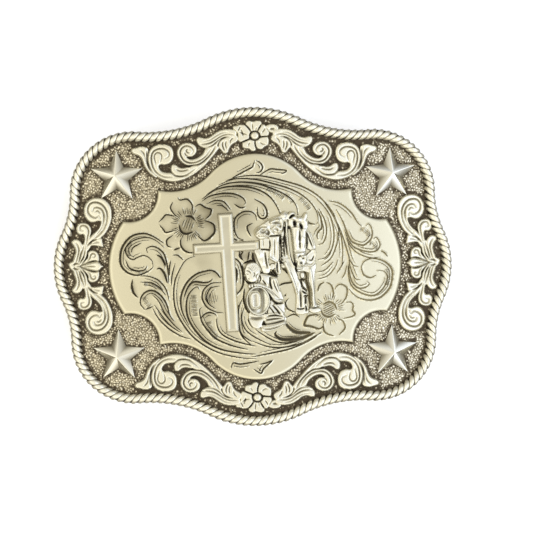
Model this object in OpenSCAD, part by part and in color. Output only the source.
// Western belt buckle: a bent cast plate with a rope edge, a star in each corner and leafy scroll
// relief, a raised panel with a cross, a saddled horse and a kneeling figure, and plain belt
// fittings behind. Millimetres. It lies face up on its fittings; the origin is the middle of its
// footprint on the table, +X along its width, +Y to its top edge and +Z out of its face.

/* [Plate] */
// Width across the two side bumps
buckle_w = 101.6; // [90:0.1:120]
// Height across the top and bottom bumps
buckle_h = 81.2; // [72:0.1:96]
// Radius that the plate is bent to, about a line along its height
bend_r = 150; // [120:1:300]
// Height of the crown of the relief's ground over the table
crown_z = 15.4; // [14:0.1:20]
// Thickness of the plate under the ground
plate_t = 2; // [1.5:0.1:3]
// Radius of the top and bottom bumps
top_bump_r = 27.54; // [22:0.1:32]
// Radius of the hollows beside the top and bottom bumps
top_hollow_r = 34.28; // [28:0.1:40]
// Distance of those hollows' centres from the middle line
top_hollow_x = 26.67; // [24:0.1:29]
// Radius of the four corners
corner_r = 15.92; // [13:0.1:18]
// Radius of the side bumps
side_bump_r = 20.42; // [17:0.1:24]
// Radius of the hollows above and below the side bumps
side_hollow_r = 24; // [20:0.1:28]
// Distance of those hollows' centres from the middle line
side_hollow_y = 18.89; // [17:0.1:21]

/* [Rope edge] */
// Width of the rope
rope_w = 2.7; // [2:0.1:3.5]
// Height of the rope over the ground
rope_h = 2.1; // [1.2:0.1:3]
// Strands in each quarter of the rope
rope_strands = 43; // [20:1:50]
// Lead of a strand's outer end over its inner end
rope_lead = 1.75; // [0.5:0.05:3]

/* [Centre panel] */
// Radius of the panel's top and bottom bumps
panel_top_r = 15.56; // [13:0.1:18]
// Half height of the panel
panel_half_h = 28.7; // [26:0.1:30]
// Radius of the hollows beside those bumps
panel_hollow_r = 13.58; // [11:0.1:16]
// Radius of the panel's side bumps
panel_side_r = 20.32; // [17:0.1:24]
// Half width of the panel
panel_half_w = 37.37; // [34:0.1:39]
// Radius of the notch that clears each star
notch_r = 7.31; // [6:0.1:8.5]
// Height of the panel's face over the ground
panel_h = 1.25; // [0.8:0.05:2]
// Width and depth of the step round the panel's face
panel_step = 0.3; // [0.1:0.05:0.6]

/* [Relief] */
// Radius over a star's tips
star_r = 6.6; // [5:0.1:7.5]
// Height of a star's middle over the ground
star_h = 2.1; // [1.2:0.1:3]
// Height of the scrolls' edges over the ground
scroll_h = 0.85; // [0.5:0.05:1.5]
// Height of the scrolls' crests over the ground
crest_h = 1.25; // [0.6:0.05:2]
// Radius of a flower's disc
flower_disc_r = 1.25; // [0.8:0.05:1.6]
// Height of the cross over the panel's face
cross_h = 1.1; // [0.6:0.05:2]

/* [Belt fittings] */
// Width of belt that the loop takes, inside its legs
loop_in = 42; // [38:0.5:46]
// Distance of the loop's bar from the middle
loop_x = 38; // [34:0.5:41]
// Thickness of the loop's wire
loop_wire = 2.8; // [2:0.1:3.5]
// Distance of the post from the middle
post_x = 33; // [28:0.5:38]
// Radius of the post
post_r = 2.1; // [1.5:0.05:2.5]

/* [Hidden] */
half_w = buckle_w / 2;
half_h = buckle_h / 2;
gap = 0.05;
fine = 0.01;
arc_steps = 14;
smooth = 720;
deep = 60;
wide = 140;
fit_x = buckle_w / 101.6;
fit_y = buckle_h / 81.2;
face = panel_h + gap;

function dir(v) = atan2(v[1], v[0]);
function ground_z(x) = crown_z - bend_r + sqrt(bend_r * bend_r - x * x);

// The point at ra from a and rb from b; side 1 is left of the way from a to b, -1 is right.
function meet(a, ra, b, rb, side) =
    let (v = b - a, d = norm(v), t = (ra * ra - rb * rb + d * d) / (2 * d))
    a + t * v / d + side * sqrt(ra * ra - t * t) * [-v[1], v[0]] / d;

// Centres of the arcs of a quarter of the plate's outline, from its top to its right side.
bump_top = [0, half_h - top_bump_r];
hollow_top = bump_top + [top_hollow_x, sqrt(pow(top_bump_r + top_hollow_r, 2) - pow(top_hollow_x, 2))];
bump_side = [half_w - side_bump_r, 0];
hollow_side = bump_side
    + [sqrt(pow(side_bump_r + side_hollow_r, 2) - pow(side_hollow_y, 2)), side_hollow_y];
corner = meet(hollow_top, corner_r + top_hollow_r, hollow_side, corner_r + side_hollow_r, -1);

// Arcs, each [centre, radius, from angle, to angle, 1 for a bump or -1 for a hollow].
function plate_arcs(inset) = [
    [bump_top, top_bump_r - inset, 90, dir(hollow_top - bump_top), 1],
    [hollow_top, top_hollow_r + inset, 180 + dir(hollow_top - bump_top),
     180 + dir(hollow_top - corner), -1],
    [corner, corner_r - inset, dir(hollow_top - corner), dir(hollow_side - corner), 1],
    [hollow_side, side_hollow_r + inset, 180 + dir(hollow_side - corner),
     180 + dir(hollow_side - bump_side), -1],
    [bump_side, side_bump_r - inset, dir(hollow_side - bump_side), 0, 1]];

star_at = [34.9 * fit_x, 22.7 * fit_y];
notch_at = star_at - [2.84, 3.73];
p_top = [0, panel_half_h - panel_top_r];
p_side = [panel_half_w - panel_side_r, 0];
p_reach = panel_top_r + panel_hollow_r;
p_hollow = p_top + p_reach * [cos(42.6), sin(42.6)];

function panel_arcs(inset) =
    let (top_r = panel_top_r - inset, hol_r = panel_hollow_r + inset, not_r = notch_r + inset,
         sid_r = panel_side_r - inset,
         cusp_a = meet(p_hollow, hol_r, notch_at, not_r, -1),
         cusp_b = meet(notch_at, not_r, p_side, sid_r, 1))
    [[p_top, top_r, 90, dir(p_hollow - p_top), 1],
     [p_hollow, hol_r, 180 + dir(p_hollow - p_top), 360 + dir(cusp_a - p_hollow), -1],
     [notch_at, not_r, 180 + dir(notch_at - cusp_a), 180 + dir(notch_at - cusp_b), -1],
     [p_side, sid_r, dir(cusp_b - p_side), 0, 1]];

function arc_at(a, f) = let (g = a[2] + f * (a[3] - a[2])) a[0] + a[1] * [cos(g), sin(g)];
function arc_out(a, f) = let (g = a[2] + f * (a[3] - a[2])) a[4] * [cos(g), sin(g)];
function arc_len(a) = abs(a[3] - a[2]) * PI / 180 * a[1];
function total(arcs, i = 0) = i == len(arcs) ? 0 : arc_len(arcs[i]) + total(arcs, i + 1);

// A closed outline from the arcs of its first quarter.
function outline(arcs) =
    let (q = concat([for (a = arcs, k = [0 : arc_steps - 1]) arc_at(a, k / arc_steps)],
                    [arc_at(arcs[len(arcs) - 1], 1)]),
         last = len(q) - 1)
    concat(q, [for (i = [last - 1 : -1 : 0]) [q[i][0], -q[i][1]]],
           [for (i = [1 : last]) [-q[i][0], -q[i][1]]],
           [for (i = [last - 1 : -1 : 1]) [-q[i][0], q[i][1]]]);

// Point and outward direction at a distance s along the arcs.
function walk(arcs, s, i = 0) =
    s <= arc_len(arcs[i]) || i == len(arcs) - 1
    ? [arc_at(arcs[i], s / arc_len(arcs[i])), arc_out(arcs[i], s / arc_len(arcs[i]))]
    : walk(arcs, s - arc_len(arcs[i]), i + 1);

// The same round all four quarters, u running from 0 to 4, the way a clock turns.
function lap(arcs, len_q, u) =
    let (v = u < 0 ? u + 4 : u >= 4 ? u - 4 : u, q = floor(v),
         t = q % 2 == 0 ? v - q : 1 - (v - q), w = walk(arcs, t * len_q),
         m = [q < 2 ? 1 : -1, q == 0 || q == 3 ? 1 : -1])
    [[w[0][0] * m[0], w[0][1] * m[1]], [w[1][0] * m[0], w[1][1] * m[1]]];

// The bent layer between two heights over the ground.
module layer(lo, hi) {
    translate([0, 0, crown_z - bend_r]) rotate([90, 0, 0]) difference() {
        cylinder(h = wide, r = bend_r + hi, center = true, $fn = smooth);
        cylinder(h = wide + 2, r = bend_r + lo, center = true, $fn = smooth);
    }
}

// A flat shape stood up as relief on the ground.
module relief(lo, hi) {
    intersection() {
        linear_extrude(deep) children();
        layer(lo, hi);
    }
}

module base_plate() {
    color([0.62, 0.6, 0.52]) relief(-plate_t, 0) polygon(outline(plate_arcs(0.25)));
}

// Rope: rings of points across its rounded top, each slanted, in turn on a strand and in a groove.
// Section points are [place across from -1 inside to 1 outside, height on a strand, in a groove].
rope_section = [[1, 0, 0], [0.98, 0.5, 0.42], [0.55, 0.93, 0.74], [-0.1, 1, 0.8],
                [-0.65, 0.84, 0.66], [-1, 0.35, 0.3], [-0.98, 0, 0]];

module rope_edge() {
    arcs = plate_arcs(rope_w / 2);
    len_q = total(arcs);
    rings = rope_strands * 8;
    m = len(rope_section);
    points = [for (k = [0 : rings - 1], j = [0 : m - 1])
        let (s = rope_section[j], across = s[0] * rope_w / 2, groove = k % 2,
             p = lap(arcs, len_q, 4 * k / rings + s[0] * rope_lead / 2 / len_q),
             xy = p[0] + across * p[1])
        [xy[0], xy[1], ground_z(xy[0]) + gap + s[1 + groove] * rope_h]];
    faces = [for (k = [0 : rings - 1], j = [0 : m - 1])
        let (n = (k + 1) % rings, i = (j + 1) % m, a = k * m + j, b = k * m + i,
             c = n * m + i, d = n * m + j)
        each [[a, b, c], [a, c, d]]];
    color([0.84, 0.82, 0.7]) polyhedron(points, faces, convexity = 8);
}

module centre_panel() {
    color([0.78, 0.75, 0.62]) union() {
        relief(gap, panel_h - panel_step) polygon(outline(panel_arcs(0)));
        relief(gap, panel_h) polygon(outline(panel_arcs(panel_step)));
    }
}

// Star: ridges run from the raised middle to five tips, valleys to the corners between them.
star_in = 0.4;
star_edge = 0.35;

module star(at) {
    n = 10;
    rim = [for (k = [0 : n - 1])
        at + star_r * (k % 2 == 0 ? 1 : star_in) * [sin(36 * k), cos(36 * k)]];
    points = concat([[at[0], at[1], ground_z(at[0]) + star_h]],
                    [for (p = rim) [p[0], p[1], ground_z(p[0]) + star_edge]],
                    [for (p = rim) [p[0], p[1], ground_z(p[0]) + gap]],
                    [[at[0], at[1], ground_z(at[0]) + gap]]);
    faces = [for (k = [0 : n - 1])
        let (a = 1 + k, b = 1 + (k + 1) % n)
        each [[0, a, b], [a, a + n, b + n], [a, b + n, b], [2 * n + 1, b + n, a + n]]];
    color([0.86, 0.84, 0.74]) polyhedron(points, faces, convexity = 6);
}

module star_upper_left() star([-star_at[0], star_at[1]]);
module star_upper_right() star(star_at);
module star_lower_left() star([-star_at[0], -star_at[1]]);
module star_lower_right() star([star_at[0], -star_at[1]]);

// Leaf and scroll ribbons: rows of [x, y, half width] that a smooth line runs through.
corner_ribbons = [
    [[22.9, 26.9, 0.7], [21.5, 27.5, 0.85], [21.1, 28.9, 0.9], [21.9, 30.1, 0.95], [23.6, 30.2, 1],
     [25.1, 29, 1.1], [25.3, 26.9, 1.2], [24.5, 24.6, 1.2], [22.3, 23.1, 1.15], [19.2, 22.9, 1.15],
     [16.2, 23.9, 1.2], [13.3, 25.9, 1.3], [11, 28.4, 1.5], [9.3, 30.7, 1.6], [7, 32.6, 1.5],
     [4.7, 33.4, 1]],
    [[15.7, 28.7, 0.5], [15.5, 29.9, 0.7], [16.7, 30.8, 0.8], [18.1, 30.1, 0.85], [18.4, 28.5, 0.9],
     [17.4, 27, 0.9], [15.6, 26.7, 0.9], [13.9, 27.6, 0.95], [12.5, 29.1, 1], [11, 30.6, 1]],
    [[29.6, 29.6, 0.75], [28.3, 29.1, 1.1], [27.1, 27.1, 1], [26, 25, 0.7]],
    [[20, 24.9, 0.7], [18.7, 24.4, 0.85], [16.5, 24.8, 0.8]],
    [[13.1, 31.9, 1.1], [11.5, 31.6, 1.05], [9.5, 32.5, 1.15], [7, 33.8, 1.1], [4.9, 34.3, 0.8]],
    [[7.3, 29.7, 0.7], [7.3, 30.9, 1.1], [6.1, 32.2, 1.1], [4.9, 32.8, 0.8]]];

side_ribbons = [
    [[39.6, 12.1, 0.4], [40.8, 12.2, 0.75], [41.9, 13.3, 0.95], [41.8, 15, 1], [40.4, 16.2, 1.05],
     [38.6, 16, 1.1], [37.5, 14.4, 1.1], [37.7, 11.8, 1.1], [39.1, 9.3, 1.15], [41.1, 7.4, 1.2],
     [43, 5.2, 1.25], [44.3, 2.9, 1.25], [44.9, 1.4, 0.9]],
    [[43.7, 8.7, 0.5], [44.3, 9.6, 0.6], [43.7, 10.5, 0.65], [42.7, 10.4, 0.7], [42.1, 9.4, 0.75],
     [42.2, 7.8, 0.8], [42.9, 5.8, 0.9]],
    [[39.3, 6.1, 0.8], [41, 5.9, 0.75], [42.8, 5, 0.8]],
    [[45.25, 6.05, 0.62], [44.72, 4.85, 0.74], [44.45, 3.1, 0.85], [44.3, 1.6, 0.8]],
    [[41.4, 2.9, 0.3], [41.2, 3.7, 0.4], [40.5, 3.8, 0.5], [40.2, 2.9, 0.6], [41.1, 1.8, 0.7],
     [42.8, 1.4, 0.75], [43.9, 1.1, 0.7]]];
palmette = [[38.9, 0, 0.25], [39.8, 0, 0.8], [41.6, 0, 1.15], [44, 0, 1.1], [45.8, 0, 0.9]];

// Eyes of the volutes: rows of [x, y, radius].
corner_eyes = [[23.2, 28.4, 1.4], [16.9, 29, 1.05]];
side_eyes = [[39.8, 14.1, 1.5]];

// Point on the smooth line through the rows p, at fraction t past row i.
function on_line(p, i, t) =
    let (a = p[max(i - 1, 0)], b = p[i], c = p[i + 1], d = p[min(i + 2, len(p) - 1)])
    0.5 * (2 * b + (c - a) * t + (2 * a - 5 * b + 4 * c - d) * t * t
           + (3 * b - a - 3 * c + d) * t * t * t);

// Outline of a ribbon: up its left side, round its end, down its right side and round its start.
ribbon_steps = 3;
cap_steps = 6;

function cap(at, r, from) = [for (k = [1 : cap_steps - 1])
    let (g = from - 180 * k / cap_steps) at + r * [cos(g), sin(g)]];

function ribbon(rows, part) =
    let (line = concat([for (i = [0 : len(rows) - 2], k = [0 : ribbon_steps - 1])
                            on_line(rows, i, k / ribbon_steps)], [rows[len(rows) - 1]]),
         last = len(line) - 1,
         at = [for (q = line) [q[0] * fit_x, q[1] * fit_y]],
         side = [for (i = [0 : last]) let (v = at[min(i + 1, last)] - at[max(i - 1, 0)])
                 [-v[1], v[0]] / norm(v)],
         r = [for (q = line) q[2] * part])
    concat([for (i = [0 : last]) at[i] + r[i] * side[i]], cap(at[last], r[last], dir(side[last])),
           [for (i = [last : -1 : 0]) at[i] - r[i] * side[i]], cap(at[0], r[0], dir(-side[0])));

// Ribbons and eyes in relief with a stepped crest; sx and sy mirror them to a corner or a side.
crest_part = 0.5;

module scroll_level(rows, eyes, part, top, sx, sy) {
    for (p = rows) relief(gap, top) polygon([for (q = ribbon(p, part)) [sx * q[0], sy * q[1]]]);
    for (e = eyes) relief(gap, top)
        translate([sx * e[0] * fit_x, sy * e[1] * fit_y]) circle(r = e[2] * part, $fn = 32);
}

module scrollwork(rows, eyes, sx, both) {
    color([0.84, 0.81, 0.68]) union() for (sy = both) {
        scroll_level(rows, eyes, 1, scroll_h, sx, sy);
        scroll_level(rows, eyes, crest_part, crest_h, sx, sy);
    }
}

module side_group(sx) {
    scrollwork(side_ribbons, side_eyes, sx, [1, -1]);
    scrollwork([palmette], [], sx, [1]);
}

module scroll_upper_left() scrollwork(corner_ribbons, corner_eyes, -1, [1]);
module scroll_upper_right() scrollwork(corner_ribbons, corner_eyes, 1, [1]);
module scroll_lower_left() scrollwork(corner_ribbons, corner_eyes, -1, [-1]);
module scroll_lower_right() scrollwork(corner_ribbons, corner_eyes, 1, [-1]);
module side_scroll_left() side_group(-1);
module side_scroll_right() side_group(1);

// Flower: five round petals about a disc.
flower_y = 33.2 * fit_y;
petal_r = 1.3;
petal_out = 2.35;

module flower(y) {
    color([0.86, 0.83, 0.7]) union() {
        relief(gap, scroll_h + 0.15) translate([0, y]) union() {
            circle(r = petal_out, $fn = 40);
            for (k = [0 : 4])
                rotate(90 + 72 * k) translate([petal_out, 0]) circle(r = petal_r, $fn = 32);
        }
        relief(gap, crest_h + 0.15) translate([0, y]) circle(r = flower_disc_r, $fn = 32);
    }
}

module flower_top() flower(flower_y);
module flower_bottom() flower(-flower_y);

// Cross: two tapered bars with a thin rim left standing round a shallow face.
cross_at = [-7 * fit_x, 5 * fit_y];
cross_turn = 3.2;
cross_up = 8.7;
cross_down = 21.6;
cross_arm_l = 8.7;
cross_arm_r = 8.1;
bar_top = 3.8;
bar_bottom = 3.2;
arm_left = 2.8;
arm_right = 2.4;
cross_rim = 0.45;
cross_sink = 0.25;

module cross_shape(inset) {
    polygon([[-bar_top / 2 + inset, cross_up - inset], [bar_top / 2 - inset, cross_up - inset],
             [bar_bottom / 2 - inset, inset - cross_down], [inset - bar_bottom / 2, inset - cross_down]]);
    polygon([[inset - cross_arm_l, arm_left / 2 - inset], [cross_arm_r - inset, arm_right / 2 - inset],
             [cross_arm_r - inset, inset - arm_right / 2], [inset - cross_arm_l, inset - arm_left / 2]]);
}

module cross() {
    color([0.82, 0.79, 0.66]) difference() {
        relief(face, face + cross_h)
            translate(cross_at) rotate(cross_turn) offset(delta = fine) cross_shape(0);
        relief(face + cross_h - cross_sink, face + cross_h + 1)
            translate(cross_at) rotate(cross_turn) offset(delta = fine) cross_shape(cross_rim);
    }
}

// Limbs and bodies in relief: rows of [x, y, height over the panel, radius] twice, joined in a hull.
horse_limbs = [
    [1.9, 9.1, -0.6, 2.2, 5.4, 9.2, -0.3, 2.6],
    [2.8, 10.8, 0.4, 1.2, 6.2, 11.9, 0.9, 1.1],
    [7.1, 12.5, 1.3, 0.6, 7.3, 13.3, 1.4, 0.45],
    [4.6, 7.6, 0.4, 1.4, 5.1, 3.4, 0.3, 1.15],
    [2.8, 6.6, -0.3, 1.45, 2.9, 5, -0.4, 1.35],
    [2, 3, -0.1, 1.25, 3, -0.7, -0.1, 0.9],
    [5.7, 2, 0.2, 0.7, 6.1, -1.5, 0.2, 0.75],
    [9.2, 9, -0.2, 1.6, 8.4, 2.5, -0.3, 1.7],
    [12.4, 8.6, -0.2, 1.9, 12.6, 3, -0.2, 2.1],
    [9.4, 1.6, -0.5, 2.2, 13, 0.6, -0.6, 2.1],
    [11.2, 10.1, 0.7, 1.9, 11.3, 4, 1.3, 1.35],
    [11.3, 4, 1.3, 1.3, 11.4, 1.3, 1.2, 1.35],
    [9.6, 11.3, 1, 0.65, 8.9, 13, 0.9, 0.3],
    [12.6, 11.4, 1, 0.65, 13, 12.9, 0.9, 0.3],
    [14.2, 8.6, 0.1, 0.8, 15, 3.6, 0, 0.7],
    [8.6, 0.2, 0, 1.3, 10.6, -6, 0.1, 1.05],
    [10.6, -6, 0.1, 1.05, 12, -10.6, 0, 0.85],
    [12, -10.6, 0, 0.85, 12.2, -11.8, 0, 1.15],
    [13.7, -0.8, -0.1, 1.2, 14.6, -6, 0, 0.95],
    [14.6, -6, 0, 0.95, 15.5, -10.2, -0.1, 0.8],
    [15.5, -10.2, -0.1, 0.8, 15.8, -11.3, -0.1, 1.1]];

figure_limbs = [
    [-0.9, -0.7, 0.4, 1.8, -1.3, -1.9, 0.5, 1.45],
    [0.5, -2.4, 0.2, 1.3, 2.4, -3.5, 0.1, 1.6],
    [2.6, -3.8, 0, 1.7, 4.9, -9.4, -0.2, 2],
    [4.4, -4, 0.7, 1.1, 6.4, -7.9, 0.8, 1],
    [6.3, -8, 0.8, 1, 2, -5.1, 1.2, 0.7],
    [2, -5.1, 1.2, 0.75, 0.6, -4.8, 1.3, 0.7],
    [5.4, -11, 0, 1.9, 1.3, -13.8, 0.3, 1.6],
    [1.2, -13.4, 0.3, 1.5, 0.3, -15, 0, 1],
    [6.4, -12, -0.3, 1.7, 3.4, -15, -0.3, 1.3]];

limb_fine = 14;

module limbs(rows) {
    difference() {
        for (r = rows) hull() {
            translate([r[0] * fit_x, r[1] * fit_y, ground_z(r[0]) + face + r[2]])
                sphere(r = r[3], $fn = limb_fine);
            translate([r[4] * fit_x, r[5] * fit_y, ground_z(r[4]) + face + r[6]])
                sphere(r = r[7], $fn = limb_fine);
        }
        layer(-bend_r / 2, face);
    }
}

module horse() {
    color([0.88, 0.86, 0.77]) limbs(horse_limbs);
}

// Hat held before the figure, seen from above: an oval brim with a rolled rim and a raised crown.
hat_at = [0.5 * fit_x, -8.5 * fit_y];
hat_turn = 4;
brim = [3.1, 3.85];
brim_roll = 0.6;
crown = [1.35, 2.4];
brim_h = 1.7;
rim_h = 2.1;
crown_h = 2.7;

function oval(half) = [for (k = [0 : 35]) [half[0] * cos(10 * k), half[1] * sin(10 * k)]];

module hat() {
    difference() {
        relief(face, face + rim_h) translate(hat_at) rotate(hat_turn) polygon(oval(brim));
        relief(face + brim_h, face + crown_h + 1) translate(hat_at) rotate(hat_turn)
            polygon(oval(brim - [brim_roll, brim_roll]));
    }
    relief(face, face + crown_h) translate(hat_at) rotate(hat_turn) polygon(oval(crown));
}

module kneeling_figure() {
    color([0.87, 0.85, 0.75]) union() {
        limbs(figure_limbs);
        hat();
    }
}

// Belt loop: a bar along the buckle's height, carried on two legs that stand on feet behind the plate.
module belt_loop() {
    wire_r = loop_wire / 2;
    leg_y = loop_in / 2 + wire_r;
    back = ground_z(loop_x) - plate_t;
    color([0.6, 0.58, 0.5]) difference() {
        union() {
            translate([loop_x, 0, wire_r]) rotate([90, 0, 0])
                cylinder(h = 2 * leg_y, r = wire_r, center = true, $fn = 48);
            for (s = [-1, 1]) translate([loop_x, s * leg_y, 0]) {
                translate([0, 0, wire_r]) sphere(r = wire_r, $fn = 48);
                translate([0, 0, wire_r]) cylinder(h = back, r = wire_r, $fn = 48);
                translate([0, 0, back - 1]) cylinder(h = 2, r = wire_r + 1.2, $fn = 48);
            }
        }
        layer(-plate_t - gap, plate_t * 4);
    }
}

// Belt post: a plain pin with a domed end and a foot, behind the other end of the plate.
module belt_post() {
    back = ground_z(post_x) - plate_t;
    color([0.6, 0.58, 0.5]) translate([-post_x, 0, 0]) difference() {
        union() {
            translate([0, 0, post_r]) sphere(r = post_r, $fn = 48);
            translate([0, 0, post_r]) cylinder(h = back, r = post_r, $fn = 48);
            translate([0, 0, back - 1.2]) cylinder(h = 2.4, r = post_r + 1.5, $fn = 48);
        }
        translate([post_x, 0, 0]) layer(-plate_t - gap, plate_t * 4);
    }
}

base_plate();
rope_edge();
centre_panel();
star_upper_left();
star_upper_right();
star_lower_left();
star_lower_right();
scroll_upper_left();
scroll_upper_right();
scroll_lower_left();
scroll_lower_right();
flower_top();
flower_bottom();
side_scroll_left();
side_scroll_right();
cross();
horse();
kneeling_figure();
belt_loop();
belt_post();
